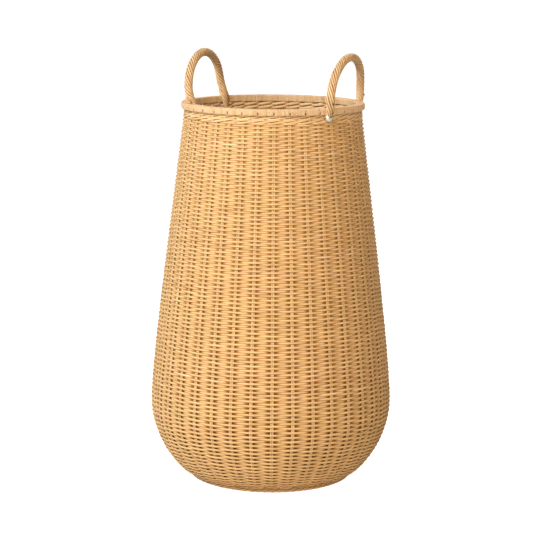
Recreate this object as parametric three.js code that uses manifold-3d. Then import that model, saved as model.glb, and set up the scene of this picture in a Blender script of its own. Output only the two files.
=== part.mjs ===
// A tall woven rattan laundry basket: a pear-shaped round body on a narrow foot, with a lapped rim
// and two roped bow handles. The right handle stands outside the rim, held by domed studs. The left
// handle stands on the rim, and the ends of its roping go down inside.
// Millimetres, +Z up. The origin is on the floor, in the middle of the foot. The handles stand at
// +X and -X.

import * as THREE from 'three';
import { mergeVertices } from 'three/addons/utils/BufferGeometryUtils.js';
import Module from 'manifold-3d';

const wasm = await Module();
wasm.setup();

// Driving dimensions of the body
const rimHeight = 660; // floor to the top of the rim
const neckRadius = 154; // outside of the weave, under the rim
const neckLean = THREE.MathUtils.degToRad(7); // lean of the wall just under the rim
const bellyRadius = 212; // outside of the weave at its widest
const bellyHeight = 132;
const footRadius = 143; // outside of the foot border
const footBorderHeight = 7;
const footBorderWidth = 8;
const footBorderRoundingRadius = 2;

// How round the body is: the lengths of the curve's handles at the heel, belly and neck
const heelCurveLength = 18;
const underBellyCurveLength = 59;
const overBellyCurveLength = 74;
const neckCurveLength = 140;

// Rods and weave
const stakePairs = 37; // an odd number, so that one weaver passes in front and behind by turns
const stakeDiameter = 2.8;
const weaverDiameter = 3.4;
const upsettWaleWidth = 12; // three rods laid round the turn of the stakes
const topWaleHeight = 13; // three rods under the rim
const stakeFootLength = 26; // how far a stake pair is pushed into the base
const baseSticks = 8; // laid across each other, so they make twice as many spokes
const baseStickDiameter = 3;
const baseSpokeLength = 108;
const baseEyeRadius = 24; // the bare crossing in the middle of the base

// Rim
const rimBandHeight = 12;
const outerHoopThickness = 7;
const outerHoopRoundingRadius = 2.4;
const innerHoopThickness = 2.2;
const lappingThickness = 0.8;
const lappingRoundingRadius = 2.1;
const lappingTurnUnderWidth = 4.9; // how far the lapping turns in under the outer hoop

// Handles
const outsideHandleHeight = 87; // rim top to the top of the right handle's arch
const insideHandleHeight = 90; // and of the left handle's
const ropingRadius = 7.5;
const bowRadius = 4;
const legHeight = 24; // rim top to where the legs turn into the arch
const outsideLeanDepth = 6; // how far the right handle's arch stands out past its legs
const insideLeanDepth = 2; // and the left handle's
const outsideShoulderDistance = 11; // how far outside the neck the right handle's shoulders stand
const outsideShoulderPitches = 3.92; // from the handle's middle to a shoulder, in stake pitches
const outsideFootPitches = 3.93; // and to a foot
const outsideStandOffGap = 1.5; // how far the right handle's core stands off the rim
const insideShoulderDistance = 0.5; // how far inside the neck the left handle's shoulders stand
const insideShoulderPitches = 3.66;
const insideFootPitches = 3.79;
const insideStandDistance = 3.4; // how far in from the rim's edge the left handle's legs stand
const insideStandHeight = 6; // rim top to where those legs turn in over the rim
const bowTuckDepth = 2; // how far below the rim's top the right handle's core ends
const tailWidth = 16; // the roping's ends, fanned over the rim
const tailTipWidth = 11;
const outsideFlareHeight = 3; // how far above and below the rim's edge the ends begin to fan
const insideFlareHeight = 10;
const outsideTailLength = 22.5; // rim top to the tips of the right handle's ends
const insideTailLength = 22;
const outsideTailThickness = 7; // the right handle's ends, under a stud
const insideTailThickness = 5.5; // the left handle's ends, inside the rim

// Studs and brads
const studDiameter = 13;
const studHeadHeight = 4;
const studShankDiameter = 3;
const studDropHeight = 16; // rim top to the middle of the stud
const bradHeadDiameter = 4;
const bradHeadHeight = 1;
const bradShankDiameter = 1.6;
const outsideBradRiseHeight = 8; // rim top to the brads in the right handle's legs
const insideBradRiseHeight = 12; // and in the left handle's
const bradBiteDepth = 2.5; // how far a brad goes into the bow

const clearance = 0.3; // between touching pieces

// Sizes worked out from the driving dimensions
const wallThickness = stakeDiameter + 2 * weaverDiameter;
const halfWall = wallThickness / 2;
const baseHeight = footBorderHeight + clearance + halfWall;
const rimUnderside = rimHeight - rimBandHeight;
const neckHeight = rimUnderside - clearance;
const neckMidRadius = neckRadius - halfWall;
const stakeTop = rimHeight - lappingThickness - clearance;
const stakePitch = (2 * Math.PI) / stakePairs;
const innerHoopFace = neckMidRadius - stakeDiameter / 2 - clearance;
const outerHoopFace = neckMidRadius + stakeDiameter / 2 + clearance;
const lappingInside = innerHoopFace - innerHoopThickness - clearance - lappingThickness;
const lappingOutside = outerHoopFace + outerHoopThickness + clearance + lappingThickness;

// Materials
function finish(color, roughness, metalness = 0) {
  return new THREE.MeshStandardMaterial({ color, roughness, metalness });
}
const weaveFinish = finish(0xd8ae76, 0.62);
const stakeFinish = finish(0xe6c592, 0.6);
const rimFinish = finish(0xdcb27c, 0.5);
const hoopFinish = finish(0xcf9f66, 0.6);
const ropingFinish = finish(0xdfb983, 0.5);
const bowFinish = finish(0xc9995f, 0.6);
const studFinish = finish(0xd6d8d2, 0.18, 1);
const bradFinish = finish(0x4a4038, 0.45, 0.9);

const basket = new THREE.Group();
function addPiece(name, geometry, material) {
  const mesh = new THREE.Mesh(geometry, material);
  mesh.name = name;
  basket.add(mesh);
}

// Solids for joining and cutting
const weldDistance = 1e-4;
function toSolid(geometry) {
  const bare = geometry.clone();
  bare.deleteAttribute('normal');
  bare.deleteAttribute('uv');
  const merged = mergeVertices(bare.index ? bare.toNonIndexed() : bare, weldDistance);
  const vertProperties = new Float32Array(merged.attributes.position.array);
  const triVerts = new Uint32Array(merged.index.array);
  return new wasm.Manifold(new wasm.Mesh({ numProp: 3, vertProperties, triVerts }));
}

function toGeometry(solid) {
  const { numProp, vertProperties, triVerts } = solid.getMesh();
  const geometry = new THREE.BufferGeometry();
  const positions = new Float32Array((vertProperties.length / numProp) * 3);
  for (let i = 0; i < positions.length / 3; i++) {
    for (let axis = 0; axis < 3; axis++) positions[3 * i + axis] = vertProperties[numProp * i + axis];
  }
  geometry.setAttribute('position', new THREE.BufferAttribute(positions, 3));
  geometry.setIndex(new THREE.BufferAttribute(new Uint32Array(triVerts), 1));
  const flat = geometry.toNonIndexed();
  flat.computeVertexNormals();
  return flat;
}

// A closed ring round the Z axis from an anticlockwise outline of [radius, height] points.
// It is flat across each stake, and its corners stand between the stakes and a little further out.
function ring(outline) {
  const corner = 1 / Math.cos(stakePitch / 2);
  const points = [...outline, outline[0]].map(([r, z]) => new THREE.Vector2(r * corner, z));
  return new THREE.LatheGeometry(points, stakePairs, Math.PI / 2).rotateX(Math.PI / 2);
}

// A plate whose outline lies in the plane of the Z axis and a radius, centred on that plane
function radialPlate(outline, width, angle) {
  const shape = new THREE.Shape(outline.map(([r, z]) => new THREE.Vector2(r, z)));
  const plate = new THREE.ExtrudeGeometry(shape, { depth: width, bevelEnabled: false });
  return plate.translate(0, 0, -width / 2).rotateX(Math.PI / 2).rotateZ(angle);
}

// The wall's middle line, from the base out to the heel, round the belly and up into the rim
const neckPoint = new THREE.Vector2(neckMidRadius, neckHeight);
const bellyPoint = new THREE.Vector2(bellyRadius - halfWall, bellyHeight);
const heelPoint = new THREE.Vector2(footRadius - clearance, baseHeight);
const wallLine = new THREE.CurvePath();
wallLine.add(new THREE.LineCurve(new THREE.Vector2(0, baseHeight), heelPoint));
wallLine.add(new THREE.CubicBezierCurve(
  heelPoint,
  new THREE.Vector2(heelPoint.x + heelCurveLength, baseHeight),
  new THREE.Vector2(bellyPoint.x, bellyHeight - underBellyCurveLength),
  bellyPoint,
));
wallLine.add(new THREE.CubicBezierCurve(
  bellyPoint,
  new THREE.Vector2(bellyPoint.x, bellyHeight + overBellyCurveLength),
  new THREE.Vector2(
    neckPoint.x + neckCurveLength * Math.sin(neckLean),
    neckPoint.y - neckCurveLength * Math.cos(neckLean),
  ),
  neckPoint,
));
wallLine.add(new THREE.LineCurve(neckPoint, new THREE.Vector2(neckPoint.x, stakeTop)));

const curveLengths = wallLine.getCurveLengths();
const wallLength = curveLengths[curveLengths.length - 1];
const [heelStation, bellyStation, neckStation] = curveLengths;

// A point of the wall's middle line, moved out along its normal, as [radius, height]
function wallPoint(station, outward) {
  const u = THREE.MathUtils.clamp(station / wallLength, 0, 1);
  const point = wallLine.getPointAt(u);
  const tangent = wallLine.getTangentAt(u);
  return [point.x + tangent.y * outward, point.y - tangent.x * outward];
}

// The stations where the pieces of the wall meet, and those between that follow its curve
const stakeFootStation = heelStation - stakeFootLength;
const upsettStart = heelStation - upsettWaleWidth / 2;
const upsettEnd = heelStation + upsettWaleWidth / 2;
const topWaleStart = neckStation - topWaleHeight;
const underBellySpans = 4;
const overBellySpans = 4;
function between(from, to, spans) {
  return Array.from({ length: spans - 1 }, (_, i) => from + ((to - from) * (i + 1)) / spans);
}
const sideStations = [
  ...between(upsettEnd, bellyStation, underBellySpans),
  bellyStation,
  ...between(bellyStation, topWaleStart, overBellySpans),
];
const stakeStations = [
  stakeFootStation,
  heelStation,
  upsettEnd,
  ...sideStations,
  topWaleStart,
  neckStation,
  wallLength,
];

// A stretch of the wall between two offsets from its middle line
function wallBand(stations, outward = halfWall, inward = -halfWall) {
  const outer = stations.map((station) => wallPoint(station, outward));
  const inner = stations.map((station) => wallPoint(station, inward));
  return [...outer, ...inner.reverse()];
}

// Side stakes: rods in pairs, pushed into the base beside its sticks and bent up to the rim
function stake(index, extra) {
  const stations = [...stakeStations];
  stations[0] -= extra;
  const half = stakeDiameter / 2 + extra;
  const band = wallBand(stations, half, -half);
  return radialPlate(band, 2 * stakeDiameter + 2 * extra, (index + 0.5) * stakePitch);
}
for (let i = 0; i < stakePairs; i++) {
  addPiece(`stake_pair_${String(i + 1).padStart(2, '0')}`, stake(i, 0), stakeFinish);
}
const stakeChannels = wasm.Manifold.union(
  Array.from({ length: stakePairs }, (_, i) => toSolid(stake(i, clearance))),
);

// Base sticks: rods in pairs laid across each other, spread into even spokes
function baseStar(extra) {
  const spokes = 2 * baseSticks;
  const width = 2 * baseStickDiameter + 2 * extra;
  const reach = baseSpokeLength + extra;
  const bars = Array.from({ length: baseSticks }, (_, i) => {
    const bar = new THREE.BoxGeometry(2 * reach, width, baseStickDiameter + 2 * extra);
    return toSolid(bar.rotateZ(((i + 0.5) * 2 * Math.PI) / spokes).translate(0, 0, baseHeight));
  });
  return wasm.Manifold.union(bars);
}
addPiece('base_sticks', toGeometry(baseStar(0)), stakeFinish);

// The woven base, a disc round the bare crossing
const baseWeave = toSolid(ring([
  [baseEyeRadius, baseHeight - halfWall],
  [upsettStart - clearance, baseHeight - halfWall],
  [upsettStart - clearance, baseHeight + halfWall],
  [baseEyeRadius, baseHeight + halfWall],
]));
addPiece(
  'base_weave',
  toGeometry(baseWeave.subtract(baseStar(clearance)).subtract(stakeChannels)),
  weaveFinish,
);

// Foot border: the rolled ring that the basket stands on
const borderInner = footRadius - footBorderWidth;
addPiece(
  'foot_border',
  ring([
    [borderInner + footBorderRoundingRadius, 0],
    [footRadius - footBorderRoundingRadius, 0],
    [footRadius, footBorderRoundingRadius],
    [footRadius, footBorderHeight - footBorderRoundingRadius],
    [footRadius - footBorderRoundingRadius, footBorderHeight],
    [borderInner + footBorderRoundingRadius, footBorderHeight],
    [borderInner, footBorderHeight - footBorderRoundingRadius],
    [borderInner, footBorderRoundingRadius],
  ]),
  rimFinish,
);

// The wall: the upsett wale that turns the stakes up, the side weave, and the wale under the rim.
// Both wales lie against the outside of the stakes.
const waleBack = stakeDiameter / 2 + clearance;
addPiece(
  'upsett_wale',
  ring(wallBand([upsettStart, heelStation, upsettEnd - clearance], halfWall, waleBack)),
  rimFinish,
);

const sideWeave = toSolid(ring(wallBand([upsettEnd, ...sideStations, topWaleStart - clearance])));
addPiece('side_weave', toGeometry(sideWeave.subtract(stakeChannels)), weaveFinish);

const topWaleBlank = toSolid(ring(wallBand([topWaleStart, neckStation], halfWall, waleBack)));

// Rim: a half-round hoop outside the stakes and a flat one inside, under a close cane lapping
const hoopBottom = rimUnderside + lappingThickness + clearance;
const hoopTop = rimHeight - lappingThickness - clearance;
const outerHoopEdge = outerHoopFace + outerHoopThickness;
addPiece(
  'rim_outer_hoop',
  ring([
    [outerHoopFace, hoopBottom],
    [outerHoopEdge - outerHoopRoundingRadius, hoopBottom],
    [outerHoopEdge, hoopBottom + outerHoopRoundingRadius],
    [outerHoopEdge, hoopTop - outerHoopRoundingRadius],
    [outerHoopEdge - outerHoopRoundingRadius, hoopTop],
    [outerHoopFace, hoopTop],
  ]),
  hoopFinish,
);
addPiece(
  'rim_inner_hoop',
  ring([
    [innerHoopFace - innerHoopThickness, hoopBottom],
    [innerHoopFace, hoopBottom],
    [innerHoopFace, hoopTop],
    [innerHoopFace - innerHoopThickness, hoopTop],
  ]),
  hoopFinish,
);

// The lapping goes over both hoops and turns in under each of them
const outerLip = lappingOutside - lappingTurnUnderWidth;
const innerLip = lappingInside + lappingThickness + innerHoopThickness / 2;
const lapCeiling = rimHeight - lappingThickness;
const lapFloor = rimUnderside + lappingThickness;
const lapInnerFace = lappingInside + lappingThickness;
const lapOuterFace = lappingOutside - lappingThickness;
const innerRounding = lappingRoundingRadius - lappingThickness * Math.tan(Math.PI / 8);
addPiece(
  'rim_lapping',
  ring([
    [outerLip, rimUnderside],
    [lappingOutside - lappingRoundingRadius, rimUnderside],
    [lappingOutside, rimUnderside + lappingRoundingRadius],
    [lappingOutside, rimHeight - lappingRoundingRadius],
    [lappingOutside - lappingRoundingRadius, rimHeight],
    [lappingInside, rimHeight],
    [lappingInside, rimUnderside],
    [innerLip, rimUnderside],
    [innerLip, lapFloor],
    [lapInnerFace, lapFloor],
    [lapInnerFace, lapCeiling],
    [lapOuterFace - innerRounding, lapCeiling],
    [lapOuterFace, lapCeiling - innerRounding],
    [lapOuterFace, lapFloor + innerRounding],
    [lapOuterFace - innerRounding, lapFloor],
    [outerLip, lapFloor],
  ]),
  rimFinish,
);

// What a handle's foot keeps clear of: the rim and the wall, each grown by the clearance
const rimKeepOut = toSolid(ring([
  [lappingInside - clearance, rimUnderside - clearance],
  [lappingOutside + clearance, rimUnderside - clearance],
  [lappingOutside + clearance, rimHeight + clearance],
  [lappingInside - clearance, rimHeight + clearance],
]));
const keepOutHalf = halfWall + clearance;
const wallKeepOut = toSolid(ring(wallBand(
  [topWaleStart - outsideTailLength, topWaleStart, neckStation, neckStation + 2 * clearance],
  keepOutHalf,
  -keepOutHalf,
)));

// How finely the handles and pins are faceted
const bowSteps = 26;
const bowSides = 6;
const ropingSides = 10;
const studSides = 12;
const bradSides = 6;
const domeAngles = [0.35, 0.7].map((share) => (share * Math.PI) / 2);

// A round rod along a curve
function rodAlong(curve, radius, steps, sides) {
  const shape = new THREE.Shape();
  for (let i = 0; i < sides; i++) {
    const angle = (i * 2 * Math.PI) / sides;
    const x = radius * Math.cos(angle);
    const y = radius * Math.sin(angle);
    if (i === 0) shape.moveTo(x, y);
    else shape.lineTo(x, y);
  }
  return new THREE.ExtrudeGeometry(shape, { steps, extrudePath: curve, bevelEnabled: false });
}

// A domed pin. Its head's flat underside is at the origin and its shank runs down -Z.
function domedPin(headDiameter, headHeight, shankDiameter, shankLength, sides) {
  const headRadius = headDiameter / 2;
  const points = [
    new THREE.Vector2(0, -shankLength),
    new THREE.Vector2(shankDiameter / 2, -shankLength),
    new THREE.Vector2(shankDiameter / 2, 0),
    new THREE.Vector2(headRadius, 0),
  ];
  for (const angle of domeAngles) {
    points.push(new THREE.Vector2(headRadius * Math.cos(angle), headHeight * Math.sin(angle)));
  }
  points.push(new THREE.Vector2(0, headHeight));
  return new THREE.LatheGeometry(points, sides).rotateX(Math.PI / 2);
}

function brad(extra) {
  return domedPin(
    bradHeadDiameter + 2 * extra,
    bradHeadHeight + extra,
    bradShankDiameter + 2 * extra,
    ropingRadius - bowRadius + bradBiteDepth + extra,
    bradSides,
  );
}

// Seats a pin's head at its radius and height, facing away from the Z axis (1) or towards it (-1)
function seatPin(geometry, pin, angle) {
  geometry.rotateY((pin.facing * Math.PI) / 2);
  return geometry.translate(pin.radius, 0, pin.height).rotateZ(angle);
}

// A bow's centre line: up from one foot, over the arch and down to the other. Each foot has an end,
// at endRadius, and above it the place where the leg stands.
function bowCurve(bow) {
  const shoulderHeight = rimHeight + legHeight;
  const archRise = bow.handleHeight - ropingRadius - legHeight;
  const shoulderAngle = bow.shoulderPitches * stakePitch;
  const legX = bow.shoulderRadius * Math.cos(shoulderAngle);
  const halfChord = bow.shoulderRadius * Math.sin(shoulderAngle);
  const footAngle = bow.footPitches * stakePitch;
  const footPoint = (radius, height) => [
    radius * Math.cos(footAngle),
    radius * Math.sin(footAngle),
    rimHeight + height,
  ];
  const half = [footPoint(bow.endRadius, -bowTuckDepth), footPoint(bow.standRadius, bow.standHeight)];
  for (const turn of [0, Math.PI / 6, Math.PI / 3]) {
    half.push([
      legX + bow.leanDepth * Math.sin(turn),
      halfChord * Math.cos(turn),
      shoulderHeight + archRise * Math.sin(turn),
    ]);
  }
  const crown = [legX + bow.leanDepth, 0, shoulderHeight + archRise];
  const points = [...half, crown, ...half.map(([x, y, z]) => [x, -y, z]).reverse()];
  return new THREE.CatmullRomCurve3(points.map(([x, y, z]) => new THREE.Vector3(x, y, z)));
}

// The roping's ends, fanned over the rim and drawn together again at their tips: an outline seen
// from the front, cut with one seen from the side
function fannedEnd(handle, angle) {
  const top = rimHeight + handle.flareHeight;
  const widest = rimHeight - handle.flareHeight;
  const tip = rimHeight - handle.tailLength;
  const round = tailTipWidth / 2;
  const front = new THREE.Shape([
    new THREE.Vector2(-ropingRadius, top),
    new THREE.Vector2(-tailWidth / 2, widest),
    new THREE.Vector2(-tailTipWidth / 2, tip + round),
    new THREE.Vector2(-tailTipWidth / 4, tip),
    new THREE.Vector2(tailTipWidth / 4, tip),
    new THREE.Vector2(tailTipWidth / 2, tip + round),
    new THREE.Vector2(tailWidth / 2, widest),
    new THREE.Vector2(ropingRadius, top),
  ]);
  const prism = new THREE.ExtrudeGeometry(front, { depth: neckRadius, bevelEnabled: false });
  prism.rotateX(Math.PI / 2).rotateZ(Math.PI / 2).translate(neckRadius / 2, 0, 0);
  const side = radialPlate(handle.sideOutline, 2 * tailWidth, 0);
  const end = toSolid(side).intersect(toSolid(prism));
  return end.rotate([0, 0, THREE.MathUtils.radToDeg(angle)]);
}

// Handles: a bow under a sleeve of roping, with pins through the roping
const bothFeet = [1, -1];

// What trims a bow's ends outside the rim, so that they stand clear of the bottoms of its bore
const bowTrim = toSolid(
  new THREE.BoxGeometry(2 * bellyRadius, 2 * bellyRadius, 2 * bowTuckDepth).translate(
    0,
    0,
    rimHeight - 2 * bowTuckDepth + clearance,
  ),
);

// A handle is made at +X and then turned to its side, so the keep-outs are turned back for it
function makeHandle(handle) {
  const footAngle = handle.footPitches * stakePitch;
  const curve = handle.curve;
  const turnBack = [0, 0, -THREE.MathUtils.radToDeg(handle.side)];
  const rim = rimKeepOut.rotate(turnBack);
  const wall = wallKeepOut.rotate(turnBack);
  const bore = toSolid(rodAlong(curve, bowRadius + clearance, bowSteps, bowSides));
  let bow = toSolid(rodAlong(curve, bowRadius, bowSteps, bowSides));
  bow = bow.subtract(bowTrim).subtract(rim);
  let roping = toSolid(rodAlong(curve, ropingRadius, bowSteps, ropingSides));
  for (const foot of bothFeet) roping = roping.add(fannedEnd(handle, foot * footAngle));
  roping = roping.subtract(rim).subtract(wall).subtract(bore);
  for (const pin of handle.pins) {
    for (const foot of bothFeet) {
      const hole = toSolid(seatPin(pin.make(clearance), pin, foot * footAngle));
      roping = roping.subtract(hole);
      bow = bow.subtract(hole);
    }
  }
  addPiece(`handle_bow_${handle.name}`, toGeometry(bow).rotateZ(handle.side), bowFinish);
  addPiece(`handle_roping_${handle.name}`, toGeometry(roping).rotateZ(handle.side), ropingFinish);
  for (const pin of handle.pins) {
    for (const foot of bothFeet) {
      const isRear = foot * Math.cos(handle.side) > 0;
      const geometry = seatPin(pin.make(0), pin, foot * footAngle).rotateZ(handle.side);
      addPiece(`${pin.name}_${handle.name}_${isRear ? 'rear' : 'front'}`, geometry, pin.finish);
    }
  }
}

// The distance of a bow's centre from the Z axis where its leg passes a height
function legRadius(curve, height) {
  let low = 0;
  let high = 0.5;
  const halvings = 40;
  for (let i = 0; i < halvings; i++) {
    const middle = (low + high) / 2;
    if (curve.getPointAt(middle).z < height) low = middle;
    else high = middle;
  }
  const point = curve.getPointAt(low);
  return Math.hypot(point.x, point.y);
}

// The right handle, outside the rim, with its ends drawn together under studs
const tailSeatRadius = neckRadius + clearance + outsideTailThickness;
const outsideFootRadius = lappingOutside + 2 * clearance + bowRadius + outsideStandOffGap;
const outsideCurve = bowCurve({
  handleHeight: outsideHandleHeight,
  leanDepth: outsideLeanDepth,
  endRadius: outsideFootRadius,
  standRadius: outsideFootRadius,
  standHeight: bowTuckDepth,
  footPitches: outsideFootPitches,
  shoulderRadius: neckRadius + outsideShoulderDistance,
  shoulderPitches: outsideShoulderPitches,
});
const outsideBradHeight = rimHeight + outsideBradRiseHeight;
makeHandle({
  name: 'right',
  side: 0,
  footPitches: outsideFootPitches,
  curve: outsideCurve,
  flareHeight: outsideFlareHeight,
  tailLength: outsideTailLength,
  sideOutline: [
    [neckMidRadius, rimHeight - outsideTailLength],
    [tailSeatRadius, rimHeight - outsideTailLength],
    [tailSeatRadius, rimUnderside - outsideFlareHeight],
    [lappingOutside + outsideTailThickness, rimUnderside + outsideFlareHeight],
    [outsideFootRadius + ropingRadius, rimHeight + outsideFlareHeight],
    [lappingOutside - lappingThickness, rimHeight + outsideFlareHeight],
    [lappingOutside - lappingThickness, rimUnderside],
    [neckMidRadius, rimUnderside - clearance],
  ],
  pins: [
    {
      name: 'stud',
      make: (extra) => domedPin(
        studDiameter + 2 * extra,
        studHeadHeight + extra,
        studShankDiameter + 2 * extra,
        tailSeatRadius - neckMidRadius + extra,
        studSides,
      ),
      radius: tailSeatRadius + clearance,
      height: rimHeight - studDropHeight,
      facing: 1,
      finish: studFinish,
    },
    {
      name: 'brad',
      make: brad,
      radius: legRadius(outsideCurve, outsideBradHeight) + ropingRadius,
      height: outsideBradHeight,
      facing: 1,
      finish: bradFinish,
    },
  ],
});

// The left handle, on the rim, with its ends down inside
const insideStandRadius = lappingOutside - insideStandDistance;
const insideTailFace = lappingInside - clearance - insideTailThickness;
const insideCurve = bowCurve({
  handleHeight: insideHandleHeight,
  leanDepth: insideLeanDepth,
  endRadius: (lappingInside + lappingOutside) / 2,
  standRadius: insideStandRadius,
  standHeight: insideStandHeight,
  footPitches: insideFootPitches,
  shoulderRadius: neckRadius - insideShoulderDistance,
  shoulderPitches: insideShoulderPitches,
});
const insideBradHeight = rimHeight + insideBradRiseHeight;
makeHandle({
  name: 'left',
  side: Math.PI,
  footPitches: insideFootPitches,
  curve: insideCurve,
  flareHeight: insideFlareHeight,
  tailLength: insideTailLength,
  sideOutline: [
    [insideTailFace, rimHeight - insideTailLength],
    [neckMidRadius, rimHeight - insideTailLength],
    [neckMidRadius, rimUnderside],
    [insideStandRadius, rimUnderside],
    [insideStandRadius, rimHeight + insideFlareHeight],
    [insideStandRadius - ropingRadius, rimHeight + insideFlareHeight],
    [insideTailFace + insideTailThickness / 2, rimHeight + insideTailThickness / 2],
    [insideTailFace, rimHeight - insideTailThickness / 2],
  ],
  pins: [
    {
      name: 'brad',
      make: brad,
      radius: legRadius(insideCurve, insideBradHeight) - ropingRadius,
      height: insideBradHeight,
      facing: -1,
      finish: bradFinish,
    },
  ],
});

// The studs' shanks pass through the wale under the rim, between the stakes
let topWale = topWaleBlank;
for (const foot of bothFeet) {
  const shank = rodAlong(
    new THREE.LineCurve3(
      new THREE.Vector3(neckMidRadius, 0, rimHeight - studDropHeight),
      new THREE.Vector3(tailSeatRadius, 0, rimHeight - studDropHeight),
    ),
    studShankDiameter / 2 + clearance,
    1,
    studSides,
  );
  topWale = topWale.subtract(toSolid(shank.rotateZ(foot * outsideFootPitches * stakePitch)));
}
addPiece('top_wale', toGeometry(topWale), rimFinish);

export default basket;
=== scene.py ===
"""A tall woven rattan laundry basket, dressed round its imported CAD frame.

Sizes are in millimetres until a mesh is made, and in metres in Blender. Stations run along the
middle line of the wall: 0 is the heel, where the wall turns up, and they grow towards the rim.
"""

import math

import bpy
import numpy as np
from mathutils import Euler, Matrix, Vector


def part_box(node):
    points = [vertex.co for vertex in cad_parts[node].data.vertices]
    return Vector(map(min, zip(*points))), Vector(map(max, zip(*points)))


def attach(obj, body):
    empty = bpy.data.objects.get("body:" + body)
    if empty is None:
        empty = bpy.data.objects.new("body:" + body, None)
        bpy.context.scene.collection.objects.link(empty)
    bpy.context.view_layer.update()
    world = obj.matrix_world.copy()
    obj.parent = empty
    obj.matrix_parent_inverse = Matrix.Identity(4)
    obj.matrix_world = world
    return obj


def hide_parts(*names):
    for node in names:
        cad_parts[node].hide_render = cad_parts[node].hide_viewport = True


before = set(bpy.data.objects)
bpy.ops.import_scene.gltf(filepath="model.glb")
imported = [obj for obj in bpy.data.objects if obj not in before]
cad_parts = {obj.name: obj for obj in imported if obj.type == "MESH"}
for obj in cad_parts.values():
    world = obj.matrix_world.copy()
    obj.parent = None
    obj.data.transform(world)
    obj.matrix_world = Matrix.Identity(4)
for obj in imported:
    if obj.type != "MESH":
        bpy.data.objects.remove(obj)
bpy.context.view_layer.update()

MM = 0.001
FULL_TURN = 2 * math.pi
UP = np.array([0.0, 0.0, 1.0])
rng = np.random.default_rng(41)


def span(node):
    """The lowest and highest corner of a CAD node, in millimetres."""
    return [np.array(corner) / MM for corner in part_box(node)]


def gather(*columns):
    """Columns of coordinates, or single ones, as points."""
    return np.stack(np.broadcast_arrays(*columns), axis=-1)


def unit(vectors):
    return vectors / np.linalg.norm(vectors, axis=-1, keepdims=True)


def distances(points):
    """How far along a polyline each of its points is."""
    steps = np.linalg.norm(np.diff(points, axis=0), axis=1)
    return np.concatenate([[0], np.cumsum(steps)])


def between(at, known, rows):
    """Rows, which are known at some lengths, at the lengths asked for."""
    return np.stack([np.interp(at, known, column) for column in rows.T], axis=-1)


# Sizes read from the frame. A ring is flat across each stake, and one stands at -X, so there its
# box is its radius.
lapping_low, lapping_high = span("rim_lapping")
foot_low, foot_high = span("foot_border")
RIM_TOP = lapping_high[2]
RIM_UNDERSIDE = lapping_low[2]
RIM_OUTSIDE = -lapping_low[0]
BELLY_RADIUS = -span("side_weave")[0][0]
BASE_WEAVE_RADIUS = -span("base_weave")[0][0]
FOOT_RADIUS = -foot_low[0]
FOOT_HEIGHT = foot_high[2]

# Sizes that repeat the CAD source's driving dimensions
PAIRS = 37
PITCH = FULL_TURN / PAIRS
CLEARANCE = 0.3
NECK_RADIUS = 154.0
NECK_LEAN = math.radians(7)
BELLY_HEIGHT = 132.0
HEEL_CURVE, NECK_CURVE = 18.0, 140.0
UNDER_BELLY_CURVE, OVER_BELLY_CURVE = 59.0, 74.0
STAKE = 2.8
WEAVER = 3.4
UPSETT_WALE_WIDTH, TOP_WALE_HEIGHT = 12.0, 13.0
STAKE_FOOT = 26.0
BASE_STICK = 3.0
BASE_STICKS = 8
SPOKES = 2 * BASE_STICKS
SPOKE_LENGTH = 108.0
BASE_EYE = 24.0
FOOT_BORDER_WIDTH = 8.0
LAPPING = 0.8
RIM_INSIDE = 144.2
RIM_MIDDLE = (RIM_OUTSIDE + RIM_INSIDE) / 2
HALF_WALL = STAKE / 2 + WEAVER
BASE_HEIGHT = FOOT_HEIGHT + CLEARANCE + HALF_WALL

# The bows of the handles: the right one stands outside the rim and the left one on it. Heights
# are above the rim's top, and pitches are from a handle's middle.
ROPING_RADIUS = 7.5
BOW_RADIUS = 4.0
LEG_HEIGHT = 24.0
BOW_TUCK = 2.0
STAND_OFF = 1.5  # how far the right bow stands off the rim
STAND_OUT = 4.0  # how far outside the rim's middle the left bow's legs stand
RIGHT_STAND = RIM_OUTSIDE + 2 * CLEARANCE + BOW_RADIUS + STAND_OFF
RIGHT_BOW = {
    "height": 87.0,
    "lean": 6.0,  # how far the arch stands out past its legs
    "end_radius": RIGHT_STAND,
    "stand": (RIGHT_STAND, BOW_TUCK),
    "foot_pitches": 3.93,
    "shoulder": (NECK_RADIUS + 11, 3.92),
}
LEFT_BOW = {
    "height": 90.0,
    "lean": 2.0,
    "end_radius": RIM_MIDDLE,
    "stand": (RIM_MIDDLE + STAND_OUT, 6.0),
    "foot_pitches": 3.79,
    "shoulder": (NECK_RADIUS - 0.5, 3.66),
}

# Studs and brads
STUD_RADIUS, STUD_HEIGHT, STUD_DROP = 6.5, 4.0, 16.0
BRAD_RADIUS, BRAD_HEIGHT, BRAD_SHANK = 2.0, 1.0, 5.5
RIGHT_BRAD_RISE, LEFT_BRAD_RISE = 8.0, 12.0
TAIL_SURFACE = 161.3  # the fanned end of the roping, on which a stud's head sits


# The wall's middle line

UNDER_POINTS, OVER_POINTS = 200, 500  # points of its curves below and above the belly
STAKE_END = 4.0  # how far above the neck the stakes have become upright


def bezier(corners, count):
    """Points of the cubic curve from the first corner to the last."""
    share = np.linspace(0, 1, count)[:, None]
    rest = 1 - share
    start, leave, reach, end = np.array(corners)
    leaving = 3 * share * rest**2 * leave
    reaching = 3 * share * share * rest * reach
    return rest**3 * start + leaving + reaching + share**3 * end


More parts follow.
